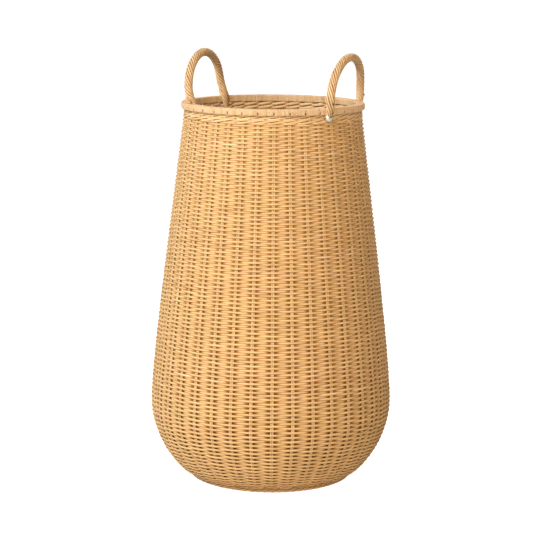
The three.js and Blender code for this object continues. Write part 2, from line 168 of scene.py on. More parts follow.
def wall_line():
    """The middle line's points as radius and height, with each one's station and outward normal."""
    heel = (FOOT_RADIUS - CLEARANCE, BASE_HEIGHT)
    belly = (BELLY_RADIUS - HALF_WALL, BELLY_HEIGHT)
    neck = (NECK_RADIUS - HALF_WALL, RIM_UNDERSIDE - CLEARANCE)
    under = [heel, (heel[0] + HEEL_CURVE, heel[1]), (belly[0], belly[1] - UNDER_BELLY_CURVE), belly]
    lean = (neck[0] + NECK_CURVE * math.sin(NECK_LEAN), neck[1] - NECK_CURVE * math.cos(NECK_LEAN))
    over = [belly, (belly[0], belly[1] + OVER_BELLY_CURVE), lean, neck]
    base = np.array([[0, heel[1]], [heel[0] * 0.5, heel[1]]])
    wall = np.concatenate([bezier(under, UNDER_POINTS), bezier(over, OVER_POINTS)[1:]])
    top = np.array([[neck[0], neck[1] + STAKE_END], [neck[0], RIM_TOP - LAPPING - CLEARANCE]])
    points = np.concatenate([base, wall, top])
    station = distances(points) - heel[0]
    tangent = unit(np.gradient(points, station, axis=0))
    normal = gather(tangent[:, 1], -tangent[:, 0])
    neck_station = station[len(base) + len(wall) - 1]
    return points, station, normal, neck_station


WALL, WALL_STATION, WALL_NORMAL, NECK_STATION = wall_line()
WALL_END = WALL_STATION[-1]


def bearing(step):
    """The angle of a place counted in stake pitches. The stakes stand half a pitch off +X."""
    return (step + 0.5) * PITCH


def round_points(radius, angle, height):
    """Points at these distances from the basket's axis, at these angles and heights."""
    return gather(radius * np.cos(angle), radius * np.sin(angle), height)


def on_wall(station, angle, out):
    """Points of the wall, out from its middle line, and the wall's outward normals there."""
    place = between(station, WALL_STATION, WALL)
    normal = between(station, WALL_STATION, WALL_NORMAL)
    radius = place[..., 0] + normal[..., 0] * out
    height = place[..., 1] + normal[..., 1] * out
    return round_points(radius, angle, height), round_points(normal[..., 0], angle, normal[..., 1])


# Rods and bundles of rods

GRAIN_LENGTH = 5000  # a rod's grain begins anywhere in this length
STRIP_MARGIN = 0.04  # share of a strip's height that stays free below and above it
MAP_MARGIN = 0.004  # and of the square's width, to the left and right
CAP_REACH = 0.3  # a rod's end, in shares of its own field of the square


def turns_of(sides):
    """The angles of the sides of a rod's section. A quarter turn is its front."""
    return np.arange(sides) * FULL_TURN / sides


def noise(count, step, size):
    """A smooth random wave over count samples, with a new height about every step samples."""
    knots = rng.normal(0, size, int(count / step) + 4)
    wave = np.interp(np.arange(count) / step, np.arange(len(knots)), knots)
    width = max(3, int(step))
    window = np.hanning(width + 2)[1:-1]
    padded = np.pad(wave, width, mode="edge")
    return np.convolve(padded, window / window.sum(), mode="same")[width:-width]


def rod_rings(path, across, half_across, half_beside, sides, closed=False):
    """Sections round a path: half_across is their reach along the across vectors, and half_beside
    is their reach at right angles to them."""
    if closed:
        tangent = np.roll(path, -1, axis=0) - np.roll(path, 1, axis=0)
    else:
        tangent = np.gradient(path, axis=0)
    tangent = unit(tangent)
    normal = unit(across - (across * tangent).sum(-1, keepdims=True) * tangent)
    beside = np.cross(tangent, normal)
    turn = turns_of(sides)
    deep = np.broadcast_to(half_across, len(path))[:, None, None] * np.sin(turn)[:, None]
    wide = np.broadcast_to(half_beside, len(path))[:, None, None] * np.cos(turn)[:, None]
    return path[:, None, :] + normal[:, None, :] * deep + beside[:, None, :] * wide


def write_attribute(mesh, name, kind, field, values):
    attribute = mesh.attributes.new(name, kind, "POINT")
    attribute.data.foreach_set(field, np.concatenate(values).astype(np.float32).ravel())


def add_object(name, data):
    """A new object in the scene."""
    added = bpy.data.objects.new(name, data)
    bpy.context.scene.collection.objects.link(added)
    return added


class Bundle:
    """Rods gathered into one mesh, with the grain's coordinates and strips laid out for a bake."""

    def __init__(self):
        self.points, self.grain, self.tone, self.painted_shade = [], [], [], []
        self.quads, self.strips, self.caps = [], [], []
        self.count = 0

    def add(self, rings, tone, closed=False, strip_length=None, painted_shade=0.0):
        """Adds the rod through these sections. Tone is a number, or one for each of them. The last
        argument is the shade painted where the rod lies in a crevice: a number, or one for each point."""
        length, sides = rings.shape[:2]
        middle = rings.mean(axis=1)
        along = distances(middle) + rng.uniform(0, GRAIN_LENGTH)
        turn = turns_of(sides)
        around = np.linalg.norm(rings - middle[:, None], axis=2)
        grain = gather(along[:, None], around * np.cos(turn), around * np.sin(turn))
        number = self.count + np.arange(length * sides).reshape(length, sides)
        last = length if closed else length - 1
        here, there = number[np.arange(last)], number[np.arange(1, last + 1) % length]
        corners = [here, there, np.roll(there, -1, axis=1), np.roll(here, -1, axis=1)]
        self.points.append(rings.reshape(-1, 3))
        self.grain.append(grain.reshape(-1, 3))
        self.tone.append(np.repeat(np.broadcast_to(tone, length), sides))
        self.painted_shade.append(np.broadcast_to(painted_shade, (length, sides)).ravel())
        self.quads.append(np.stack(corners, axis=-1))
        self.strips.append(strip_length or last)
        if not closed:
            self.caps += [number[0], number[-1][::-1]]
        self.count += length * sides

    def strip_map(self):
        """The quads' corners on a square: each rod is a strip, or several, as wide as the square.
        The rods' ends lie side by side in a last row."""
        rows = [math.ceil(len(quads) / strip) for quads, strip in zip(self.quads, self.strips, strict=True)]
        total = sum(rows) + 1
        at, row = [], 0
        for quads, strip, taken in zip(self.quads, self.strips, rows, strict=True):
            length, sides = quads.shape[:2]
            index = np.arange(length)
            left = (index % strip) / strip
            bottom = row + index // strip
            used = 1 - 2 * STRIP_MARGIN
            low = STRIP_MARGIN + used * np.arange(sides) / sides
            high = low + used / sides
            right = left + 1 / strip
            corners = []
            for edge, level in ((left, low), (right, low), (right, high), (left, high)):
                across = MAP_MARGIN + edge[:, None] * (1 - 2 * MAP_MARGIN)
                corners.append(gather(across, (bottom[:, None] + level) / total))
            at.append(np.stack(corners, axis=2).reshape(-1, 2))
            row += taken
        for place, cap in enumerate(self.caps):
            turn = turns_of(len(cap))
            centre = np.array([(place + 0.5) / len(self.caps), (row + 0.5) / total])
            size = np.array([CAP_REACH / len(self.caps), CAP_REACH / total])
            at.append(centre + size * gather(np.cos(turn), np.sin(turn)))
        return np.concatenate(at)

    def build(self, name):
        quads = np.concatenate([quads.reshape(-1, 4) for quads in self.quads])
        corners = np.concatenate([quads.ravel(), *self.caps]).astype(np.int32)
        sizes = np.array([4] * len(quads) + [len(cap) for cap in self.caps], np.int32)
        starts = np.concatenate([[0], np.cumsum(sizes)[:-1]]).astype(np.int32)
        mesh = bpy.data.meshes.new(name)
        points = np.concatenate(self.points) * MM
        mesh.vertices.add(len(points))
        mesh.vertices.foreach_set("co", points.astype(np.float32).ravel())
        mesh.loops.add(len(corners))
        mesh.loops.foreach_set("vertex_index", corners)
        mesh.polygons.add(len(sizes))
        mesh.polygons.foreach_set("loop_start", starts)
        mesh.update(calc_edges=True)
        mesh.polygons.foreach_set("use_smooth", np.ones(len(sizes), bool))
        write_attribute(mesh, "grain", "FLOAT_VECTOR", "vector", self.grain)
        write_attribute(mesh, "tone", "FLOAT", "value", self.tone)
        write_attribute(mesh, "painted_shade", "FLOAT", "value", self.painted_shade)
        layer = mesh.uv_layers.new(name="OFBake")
        layer.uv.foreach_set("vector", self.strip_map().astype(np.float32).ravel())
        mesh.validate()
        return add_object(name, mesh)


def dress(piece, material, slot, *nodes):
    """Gives a piece its material, hangs it on the root body and hides its CAD nodes. The slot is not used.
    """
    piece.data.materials.clear()
    piece.data.materials.append(material)
    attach(piece, "root")
    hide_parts(*nodes)


# Materials

WHITE, BLACK = (1.0, 1.0, 1.0), (0.0, 0.0, 0.0)
HONEY = (0.617, 0.388, 0.18)
STRAW = (0.607, 0.397, 0.177)
PINK = (0.629, 0.387, 0.184)
PALE = (0.683, 0.468, 0.255)
TAN = (0.517, 0.305, 0.134)
CREAM = (0.617, 0.436, 0.249)
IVORY = (0.665, 0.494, 0.304)
ROSE = (0.612, 0.403, 0.235)
STRAW_PALE = (0.722, 0.518, 0.26)
SAND = (0.535, 0.345, 0.175)
SPECK = (0.26, 0.12, 0.04, 1)
# The hoops are painted dark, as shade seen through the slots in the lapping
HOOP_SHADE_TONES = [(0.3, (0.16, 0.066, 0.018)), (0.7, (0.26, 0.118, 0.04))]
BOW_TONES = [(0.3, (0.5, 0.29, 0.14)), (0.7, (0.62, 0.38, 0.2))]
STUD_TONES = [(0.3, (0.5, 0.52, 0.38)), (0.6, (0.78, 0.8, 0.66))]
BRAD_TONES = [(0.3, (0.05, 0.035, 0.02)), (0.6, (0.13, 0.10, 0.07))]

# Painted shade by a crevice's depth. Light between rods comes from rattan, so it gets more orange.
CREVICE_SHADE_TINTS = [
    (0.0, WHITE),
    (0.46, (0.7, 0.53, 0.3)),
    (0.85, (0.27, 0.13, 0.02)),
    (1.0, (0.22, 0.1, 0.01)),
]

# Patterns in the rattan, in cycles per millimetre along a rod and across it, with their colours
BLOTCH_GRAIN, BLOTCH_SHARE = (0.02, 0.12, 0.12), 0.75
BLOTCHES = [(0.3, (0.78, 0.74, 0.68)), (0.7, (1.1, 1.1, 1.08))]
FIBRE_GRAIN = (0.03, 2.2, 2.2)
FIBRES = [(0.35, (0.72, 0.66, 0.58)), (0.6, WHITE)]
SPOT_GRAIN = (0.22, 0.5, 0.5)
SPOTS = [(0.7, BLACK), (0.78, WHITE)]
FIBRE_BUMP, FIBRE_HEIGHT = 0.25, 0.0002
RATTAN_SPECULAR = 0.08
HOOP_GRAIN, METAL_GRAIN = 160.0, 900.0  # cycles per metre
PLATED = 0.85  # how far the studs and brads look like bare metal


def fill(node, inputs):
    """Sets a node's inputs by name or number, or links other nodes' outputs to them."""
    for key, value in inputs.items():
        if isinstance(value, bpy.types.NodeSocket):
            node.id_data.links.new(value, node.inputs[key])
        else:
            node.inputs[key].default_value = value


class Nodes:
    """Short names for building the node tree of a material or of the world."""

    def __init__(self, owner):
        owner.use_nodes = True
        self.owner = owner
        self.all = owner.node_tree.nodes
        self.shader = self.all.get("Principled BSDF")

    def add(self, kind, inputs, **settings):
        node = self.all.new(kind)
        for key, value in settings.items():
            setattr(node, key, value)
        fill(node, inputs)
        return node

    def source(self, kind, output):
        return self.add(kind, {}).outputs[output]

    def attribute(self, name, output="Fac"):
        return self.add("ShaderNodeAttribute", {}, attribute_name=name).outputs[output]

    def height(self, vector):
        return self.add("ShaderNodeSeparateXYZ", {"Vector": vector}).outputs["Z"]

    def stretched(self, vector, scale):
        inputs = {0: vector, 1: scale}
        return self.add("ShaderNodeVectorMath", inputs, operation="MULTIPLY").outputs["Vector"]

    def noise(self, vector, scale, detail=2.0, roughness=0.5):
        inputs = {"Vector": vector, "Scale": scale, "Detail": detail, "Roughness": roughness}
        return self.add("ShaderNodeTexNoise", inputs).outputs["Fac"]

    def ramp(self, factor, stops):
        node = self.add("ShaderNodeValToRGB", {"Fac": factor})
        elements = node.color_ramp.elements
        while len(elements) < len(stops):
            elements.new(0.5)
        for element, (place, colour) in zip(elements, stops, strict=True):
            element.position = place
            element.color = (*colour, 1)
        return node.outputs["Color"]

    def remap(self, factor, low, high, start=0.0, end=1.0):
        """A value that goes from low to high while the factor goes from start to end."""
        inputs = {"Value": factor, "From Min": start, "From Max": end, "To Min": low, "To Max": high}
        return self.add("ShaderNodeMapRange", inputs).outputs["Result"]

    def blend(self, factor, first, second, mode="MIX"):
        inputs = {"Factor": factor, 6: first, 7: second}
        return self.add("ShaderNodeMix", inputs, data_type="RGBA", blend_type=mode).outputs[2]


def rattan(name, tones, roughness, streak=0.2):
    """Rods of rattan: a tone for each rod, slow blotches, fine fibres along it, a few specks, and
    painted shade in the crevices between the rods."""
    nodes = Nodes(bpy.data.materials.new(name))
    grain = nodes.attribute("grain", "Vector")
    places = np.linspace(0, 1, len(tones))
    colour = nodes.ramp(nodes.attribute("tone"), list(zip(places, tones, strict=True)))
    blotch = nodes.noise(nodes.stretched(grain, BLOTCH_GRAIN), 1.0, 3.0)
    colour = nodes.blend(BLOTCH_SHARE, colour, nodes.ramp(blotch, BLOTCHES), "MULTIPLY")
    fibres = nodes.noise(nodes.stretched(grain, FIBRE_GRAIN), 1.0, 3.0, 0.6)
    colour = nodes.blend(streak, colour, nodes.ramp(fibres, FIBRES), "MULTIPLY")
    spots = nodes.noise(nodes.stretched(grain, SPOT_GRAIN), 1.0, 2.0)
    colour = nodes.blend(nodes.ramp(spots, SPOTS), colour, SPECK)
    # painted shade in the crevices between rods, multiplied into the colour
    crevice_shade = nodes.ramp(nodes.attribute("painted_shade"), CREVICE_SHADE_TINTS)
    colour = nodes.blend(1.0, colour, crevice_shade, "MULTIPLY")
    bumps = {"Strength": FIBRE_BUMP, "Distance": FIBRE_HEIGHT, "Height": fibres}
    fill(nodes.shader, {
        "Base Color": colour,
        "Roughness": nodes.remap(fibres, roughness + 0.1, roughness - 0.08),
        "Specular IOR Level": RATTAN_SPECULAR,
        "Normal": nodes.add("ShaderNodeBump", bumps).outputs["Normal"],
    })
    return nodes.owner


def bent_rattan(name):
    """The bent rods under the wraps: hoops painted dark as shade, and above the rim the handles' paler
    bows.
    """
    nodes = Nodes(bpy.data.materials.new(name))
    grain = nodes.noise(nodes.source("ShaderNodeTexCoord", "Object"), HOOP_GRAIN, 4.0, 0.6)
    hoop_shade = nodes.ramp(grain, HOOP_SHADE_TONES)
    bow = nodes.ramp(grain, BOW_TONES)
    height = nodes.height(nodes.source("ShaderNodeNewGeometry", "Position"))
    low, high = (RIM_TOP - 3 * LAPPING) * MM, (RIM_TOP - 2 * LAPPING) * MM
    colour = nodes.blend(nodes.remap(height, 0.0, 1.0, low, high), hoop_shade, bow)
    fill(nodes.shader, {"Base Color": colour, "Roughness": nodes.remap(grain, 0.7, 0.5)})
    return nodes.owner


def metal(name, tones, roughness):
    """Plated metal with faint handling marks."""
    nodes = Nodes(bpy.data.materials.new(name))
    marks = nodes.noise(nodes.source("ShaderNodeTexCoord", "Object"), METAL_GRAIN, 3.0)
    fill(nodes.shader, {
        "Base Color": nodes.ramp(marks, tones),
        "Roughness": nodes.remap(marks, roughness + 0.08, roughness),
        "Metallic": PLATED,
    })
    return nodes.owner


weave_finish = rattan("woven_rattan", [TAN, HONEY, STRAW, HONEY, PINK, PALE], 0.5)
stake_finish = rattan("stake_rattan", [PALE, STRAW_PALE, HONEY, STRAW_PALE], 0.5)
border_finish = rattan("border_rattan", [STRAW, PALE, HONEY, PALE], 0.48)
roping_finish = rattan("roping_cane", [ROSE, CREAM, IVORY, CREAM], 0.42)
lapping_finish = rattan("lapping_cane", [SAND, ROSE, CREAM, ROSE], 0.36, 0.3)
core_finish = bent_rattan("hoop_rattan")
stud_finish = metal("stud_metal", STUD_TONES, 0.2)
brad_finish = metal("brad_metal", BRAD_TONES, 0.4)


# Side stakes: pairs of round rods from the base, round the heel and up into the rim

STAKE_SIDES = 7
STAKE_OUT = 1.3  # along the side they are pressed outwards
STAKE_EASE = 15.0  # the length over which that begins and ends
HEEL_END = 60.0  # up to here the stakes bend most, so their samples are closer
FOOT_SAMPLES, HEEL_SAMPLES, SIDE_SAMPLES = 8, 19, 74
STAKE_GAP = 0.05  # half the least gap in a pair
STAKE_THICKNESS = (1.0, 1.08)  # from thinnest to thickest
# A wobble is how many samples it takes to change, and how much it changes
GAP_WOBBLE = (12, 0.12)
STAKE_WOBBLE = (14, 0.12)


def make_stakes():
    bundle = Bundle()
    foot = np.linspace(-STAKE_FOOT, 0, FOOT_SAMPLES, endpoint=False)
    heel = np.linspace(0, HEEL_END, HEEL_SAMPLES, endpoint=False)
    station = np.concatenate([foot, heel, np.linspace(HEEL_END, WALL_END, SIDE_SAMPLES)])
    begin = np.clip(station / STAKE_EASE, 0, 1)
    stand_out = STAKE_OUT * begin * np.clip((NECK_STATION - station) / STAKE_EASE, 0, 1)
    for pair in range(PAIRS):
        angle = bearing(pair)
        middle, normal = on_wall(station, angle, 0.0)
        beside = np.array([-math.sin(angle), math.cos(angle), 0.0])
        for side in (-1, 1):
            gap = STAKE / 2 + STAKE_GAP + np.abs(noise(len(station), *GAP_WOBBLE))
            path = middle + beside * (side * gap)[:, None]
            path += normal * (stand_out + noise(len(station), *STAKE_WOBBLE))[:, None]
            radius = STAKE / 2 * rng.uniform(*STAKE_THICKNESS)
            bundle.add(rod_rings(path, normal, radius, radius, STAKE_SIDES), rng.uniform())
    names = [f"stake_pair_{pair + 1:02d}" for pair in range(PAIRS)]
    dress(bundle.build("stakes"), stake_finish, "stake_rattan", *names)


# Side weave: long weavers that climb in front of and behind the stakes by turns

SIDE_START = UPSETT_WALE_WIDTH / 2 + 0.4
SIDE_END = NECK_STATION - TOP_WALE_HEIGHT + 1.2
ROW = 3.72
TURNS = round((SIDE_END - SIDE_START) / ROW)
LEVEL_TURNS = 0.35  # at both ends the weaver stays level for this part of a turn
ROW_EASE = 0.05  # the rows are this share wider apart at the foot, and closer at the neck
STEPS = 8  # samples from stake to stake
SIDE_PIECES = 5
WEAVER_SIDES = 8
WEAVER_TALL = 2.08  # half a weaver's height; the rows are beaten down on each other
WEAVER_DEEP = 1.75
SWING = STAKE / 2 + WEAVER_DEEP - 0.15
SWING_FULLNESS = 0.22  # in front of a stake the path is this much fuller than a cosine
BULGE = 0.8  # between two stakes the rows stand out a little
DIVE = 2.6  # how suddenly they slip behind a stake
BACK_SPREAD = 0.75  # behind the stakes they are pressed taller, which closes the wall
BACK_SWING = 0.82  # behind the stakes they go less far out of the middle than in front
DIVE_SHADE, NECK_SHADE = 0.85, 0.38  # how dark the painted shade in the crevices is at the foot, and at the neck
SHADE_START, SHADE_LENGTH = 0.35, 0.5  # where the painted shade begins on the way behind a stake, and how soon it is full
EDGE_SHADE = 0.46  # how dark the painted shade on a rod is where it lies against the rows above and below it

ROW_WOBBLE, ROW_WANDER = (3 * STEPS, 0.14), (24 * STEPS, 0.15)
SWING_WOBBLE, THICKNESS_WOBBLE = (2 * STEPS, 0.05), (11 * STEPS, 0.04)
TONES, TONE_WOBBLE = (0.2, 0.8), 0.13
LONGEST_ROD = 2.5  # times the shortest
# How far whole rows wander together: size, waves around, and waves from turn to turn
DRIFTS = ((0.6, 2, 0.011), (0.5, 3, -0.017), (0.4, 5, 0.029), (0.3, 9, -0.043))
DRIFT_EASE = 8  # turns over which that begins and ends


def weaver_tones(count, samples):
    """A tone for each of count samples. The shortest rod passes the given number of samples."""
    tones, place = np.empty(count), 0
    while place < count:
        length = int(samples * rng.uniform(1.0, LONGEST_ROD))
        tones[place : place + length] = rng.uniform(*TONES)
        place += length
    return np.clip(tones + noise(count, samples / 14, TONE_WOBBLE), 0, 1)


def sway(step):
    """How far out a weaver is at a step counted in stakes: in front of one, behind the next."""
    wave = np.cos(math.pi * step)
    front = (1 + SWING_FULLNESS) * wave - SWING_FULLNESS * wave**3
    dive = np.abs(wave) ** DIVE
    return SWING * np.where(wave > 0, front, -BACK_SWING * dive) + BULGE * (1 - wave**2)


def turned_shade(sides, start, length):
    """A painted shade for each side of a rod's section, which grows as the side turns from the front."""
    return np.clip((start - np.sin(turns_of(sides))) / length, 0, 1)


def edge_shade(sides):
    """A painted shade for each side of a rod's section: none in front, some above, below and behind."""
    return EDGE_SHADE * (np.sin(turns_of(sides)) < 0.1)


def weaver_shade(step):
    """The shade painted on a weaver: along its edges, and on its way behind a stake, where it is
    darker at the foot than at the neck."""
    behind = -np.cos(math.pi * step)
    depth = np.interp(step / PAIRS / TURNS, [0, 1], [DIVE_SHADE, NECK_SHADE])
    dive = depth * np.clip((behind - SHADE_START) / SHADE_LENGTH, 0, 1)
    return np.maximum(dive[:, None], edge_shade(WEAVER_SIDES))


def drift(turn):
    """How far whole rows wander up or down together, at a place counted in turns."""
    waves = 0
    for size, around, upwards in DRIFTS:
        start = rng.uniform(0, FULL_TURN)
        waves = waves + size * np.sin(FULL_TURN * (around * turn + upwards * turn) + start)
    return waves * np.clip(turn / DRIFT_EASE, 0, 1) * np.clip((TURNS - turn) / DRIFT_EASE, 0, 1)


def make_side_weave():
    per_turn = PAIRS * STEPS
    count = TURNS * per_turn + 1
    step = np.arange(count) / STEPS
    turn = step / PAIRS
    share = np.clip(turn, LEVEL_TURNS, TURNS - LEVEL_TURNS) / TURNS
    station = SIDE_START + (SIDE_END - SIDE_START) * (share + ROW_EASE * share * (1 - share))
    row = 1 + ROW_EASE * (1 - 2 * share)
    station += drift(turn) + noise(count, *ROW_WOBBLE) + noise(count, *ROW_WANDER)
    out = sway(step) * (1 + noise(count, *SWING_WOBBLE))
    path, normal = on_wall(station, bearing(step), out)
    thick = 1 + noise(count, *THICKNESS_WOBBLE)
    tall = WEAVER_TALL * thick * row * (1 + BACK_SPREAD * np.clip(-np.cos(math.pi * step), 0, 1))
    rings = rod_rings(path, normal, WEAVER_DEEP * thick, tall, WEAVER_SIDES)
    tones = weaver_tones(count, per_turn)
    shade = weaver_shade(step)
    edges = np.round(np.linspace(0, TURNS, SIDE_PIECES + 1)).astype(int) * per_turn
    for number in range(SIDE_PIECES):
        bundle = Bundle()
        cut = slice(edges[number], edges[number + 1] + 1)
        bundle.add(rings[cut], tones[cut], strip_length=per_turn, painted_shade=shade[cut])
        piece = bundle.build(f"side_weave_{number + 1}")
        dress(piece, weave_finish, "woven_rattan", "side_weave")


# Wales: rods that pass in front of two stakes and behind the third. One rod goes three times round,
# which is where the pattern closes, so it lies like three rods laid together.

WALE_STROKE = 3  # stakes from one pass behind to the next
WALE_SAMPLES = 9  # from stake to stake
WALE_TALL, WALE_DEEP = 2.05, 1.8
WALE_SPREAD = 0.6  # behind a stake they are this much taller
WALE_SWING = 0.99  # share of a weaver's way in and out
WALE_CHANGE = 6  # the way from behind to the front is a stroke divided by this
WALE_BACK = 0.27  # share of a stroke, at both its ends, in which the rod comes down behind
WALE_SHADE = 1.6  # the painted shade on the wales' edges is this much darker than on the weavers'
WALE_WOBBLE = (2 * WALE_SAMPLES, 0.12)
WALE_ROD = 14  # stakes that the shortest rod passes
TOP_WALE_RISE = TOP_WALE_HEIGHT / 2
TOP_WALE_CENTRES = NECK_STATION - 1.5 * TOP_WALE_RISE, NECK_STATION - 0.5 * TOP_WALE_RISE
UPSETT_WALE_RISE = 6.2
UPSETT_WALE_CENTRES = -2.9, 3.2


def make_wale(name, centres, height):
    """Wales round the wall, at stations. Each one's rods climb by the height along their stroke."""
    bundle = Bundle()
    count = WALE_STROKE * PAIRS * WALE_SAMPLES
    step = np.arange(count) / WALE_SAMPLES
    share = (step / WALE_STROKE) % 1.0
    front = np.clip((0.5 - np.abs(share - 0.5)) * WALE_CHANGE - 0.5, 0, 1)
    front = front * front * (3 - 2 * front)
    out = WALE_SWING * SWING * (2 * front - 1)
    rise = np.clip((share - WALE_BACK) / (1 - 2 * WALE_BACK), 0, 1)
    fall = ((share - (1 - WALE_BACK)) % 1.0) / (2 * WALE_BACK)
    behind = (share > 1 - WALE_BACK) | (share < WALE_BACK)
    climb = np.where(behind, 1 - fall, rise)
    tall = WALE_TALL + WALE_SPREAD * np.sqrt(1 - front)
    edges = edge_shade(WEAVER_SIDES) * (np.arange(WEAVER_SIDES) % (WEAVER_SIDES // 2) == 0)
    shade = WALE_SHADE * front[:, None] * edges
    for centre in centres:
        station = centre + height * (climb - 0.5) + noise(count, *WALE_WOBBLE)
        path, normal = on_wall(station, bearing(step), out)
        tones = weaver_tones(count, WALE_ROD * WALE_SAMPLES)
        rings = rod_rings(path, normal, WALE_DEEP, tall, WEAVER_SIDES, closed=True)
        bundle.add(rings, tones, closed=True, strip_length=PAIRS * WALE_SAMPLES, painted_shade=shade)
    dress(bundle.build(name), border_finish, "border_rattan", name)


# Base: double sticks laid across each other in two groups, spread into spokes and woven round

STICK_RADIUS = 1.45
STICK_SAMPLES = 55
CROSSING = 22.0  # up to here the sticks lie side by side
CROSSING_STEP = 26.0  # from about here out both groups lie level
FAN_CURVE = 0.6  # how soon they spread beyond the crossing
BASE_ROW = 3.95
SPOKE_ROWS_END = 113.0  # from here out the rows go round the stakes' feet
BASE_SAMPLES = 10  # from spoke to spoke
BASE_ROD = 40  # spokes that the shortest rod passes
BASE_SWAY = 0.9
BASE_WOBBLE = (2 * BASE_SAMPLES, 0.15)
STAKE_ROW = 3.9
ROWS_INSET = 2  # how far both kinds of rows stay inside their room


def make_base_sticks():
    bundle = Bundle()
    reach = np.linspace(-SPOKE_LENGTH, SPOKE_LENGTH, STICK_SAMPLES)
    distance = np.abs(reach)
    bend = np.clip((distance - CROSSING) / (SPOKE_LENGTH - CROSSING), 0, 1) ** FAN_CURVE
    for level in (1, -1):
        height = BASE_HEIGHT + level * BASE_STICK / 2 * np.exp(-((distance / CROSSING_STEP) ** 4))
        for place in range(BASE_STICKS // 2):
            spread = (place - 1.5) * FULL_TURN / SPOKES
            for side in (-0.5, 0.5):
                across = (place - 1.5) * 2 * BASE_STICK + side * BASE_STICK
                spoke = distance * math.tan(spread) + side * BASE_STICK / math.cos(spread)
                offset = across * (1 - bend) + spoke * bend
                scale = SPOKE_LENGTH / np.maximum(np.hypot(reach, offset), SPOKE_LENGTH)
                path = gather(reach * scale, offset * scale, height)
                if level < 0:
                    path[:, :2] = gather(-path[:, 1], path[:, 0])
                rings = rod_rings(path, UP, STICK_RADIUS, STICK_RADIUS, STAKE_SIDES)
                bundle.add(rings, rng.uniform())
    dress(bundle.build("base_sticks"), stake_finish, "stake_rattan", "base_sticks")


def add_spoke_rows(bundle):
    """Two strands by turns over and under the spokes, from the base's eye out."""
    turns = round((SPOKE_ROWS_END - BASE_EYE) / BASE_ROW)
    count = turns * SPOKES * BASE_SAMPLES
    step = np.arange(count) / BASE_SAMPLES + 0.5
    first = BASE_EYE + ROWS_INSET
    ring = first + (SPOKE_ROWS_END - first) * np.arange(count) / count
    for strand in (0, 1):
        wave = math.pi * (step - 0.5) + strand * math.pi
        radius = ring + BASE_SWAY * np.sin(wave) + noise(count, *BASE_WOBBLE)
        height = BASE_HEIGHT + (BASE_STICK / 2 + WEAVER_DEEP) * np.cos(wave)
        path = round_points(radius, step * FULL_TURN / SPOKES, height)
        rings = rod_rings(path, UP, WEAVER_DEEP, WEAVER_DEEP, STAKE_SIDES)
        tones = weaver_tones(count, BASE_ROD * BASE_SAMPLES)
        bundle.add(rings, tones, strip_length=2 * SPOKES * BASE_SAMPLES)


def add_stake_rows(bundle):
    """One weaver in front of and behind the stakes' feet, from the spokes' rows to the heel."""
    width = BASE_WEAVE_RADIUS - SPOKE_ROWS_END
    count = round(width / STAKE_ROW) * PAIRS * STEPS
    step = np.arange(count) / STEPS
    first = SPOKE_ROWS_END - FOOT_RADIUS + CLEARANCE + ROWS_INSET
    station = first + (width - 2 * ROWS_INSET) * np.arange(count) / count
    path, normal = on_wall(station, bearing(step), sway(step))
    rings = rod_rings(path, normal, WEAVER_DEEP, WEAVER_TALL, WEAVER_SIDES)
    bundle.add(rings, weaver_tones(count, PAIRS * STEPS), strip_length=PAIRS * STEPS)


def make_base_weave():
    bundle = Bundle()
    add_spoke_rows(bundle)
    add_stake_rows(bundle)
    dress(bundle.build("base_weave"), weave_finish, "woven_rattan", "base_weave")


# Foot border: rods rolled round each other into the ring that it stands on

BORDER_RODS = 4
BORDER_ROD = 1.9  # a rod's radius
BORDER_LAY = 2  # stake pitches to one turn of a rod round the border
BORDER_SAMPLES = 14  # in a stake pitch
BORDER_WOBBLE = (3 * BORDER_SAMPLES, 0.06)
BORDER_ROD_PITCHES = 5  # the shortest rod's length


def make_foot_border():
    bundle = Bundle()
    centre = FOOT_RADIUS - FOOT_BORDER_WIDTH / 2
    wide = FOOT_BORDER_WIDTH / 2 - BORDER_ROD
    tall = FOOT_HEIGHT / 2 - BORDER_ROD
    count = BORDER_LAY * PAIRS * BORDER_SAMPLES
    step = np.arange(count) / BORDER_SAMPLES
    angle = step * PITCH
    # painted shade on the sides of the border's rods that turn from the front
    painted_shade = turned_shade(WEAVER_SIDES, 0.75, 0.8)
    for rod in range(BORDER_RODS):
        twist = FULL_TURN * (step / BORDER_LAY + rod / BORDER_RODS) + noise(count, *BORDER_WOBBLE)
        radius = centre + wide * np.cos(twist)
        path = round_points(radius, angle, FOOT_HEIGHT / 2 + tall * np.sin(twist))
        facing = round_points(np.cos(twist), angle, np.sin(twist))
        rings = rod_rings(path, facing, BORDER_ROD, BORDER_ROD, WEAVER_SIDES, closed=True)
        tones = weaver_tones(count, BORDER_ROD_PITCHES * BORDER_SAMPLES)
        bundle.add(rings, tones, closed=True, strip_length=PAIRS * BORDER_SAMPLES, painted_shade=painted_shade)
    dress(bundle.build("foot_border"), border_finish, "border_rattan", "foot_border")


# Rim lapping: turns of flat cane over both hoops, parted below by each stake pair

WRAPS = 9  # turns from stake to stake
WRAP_OVERLAP = 1.04  # a turn's width, as a share of its place
WRAP_WANDER, WRAP_WIDTHS, WRAP_HEIGHTS = 0.004, (0.97, 1.03), (-0.12, 0.1)
CANE_DEPTH = 0.5  # how deep the cane's path lies in the lapping
# Half of the cane's section: shares of its width from its middle, and how high it is there
CANE_HALF = [(0.22, 0.34), (0.5, -0.02), (0.5, -0.35)]
ROUNDINGS = 2.4, 1.2, 1.0, 2.4  # of its path's corners: outer top, inner top, inner and outer bottom
PROFILE_STEP = 2.2
SLOT_RISE, SLOT_HALF = 4.2, 2.2  # over each stake pair the turns part in a short slot
SLOT_SHARE = 0.055  # half a slot's width, in stake pitches
SLOT_EASE = 3.0  # the slots fade out over this width towards the inside
PART = 0.002  # how far the turns part everywhere, in stake pitches


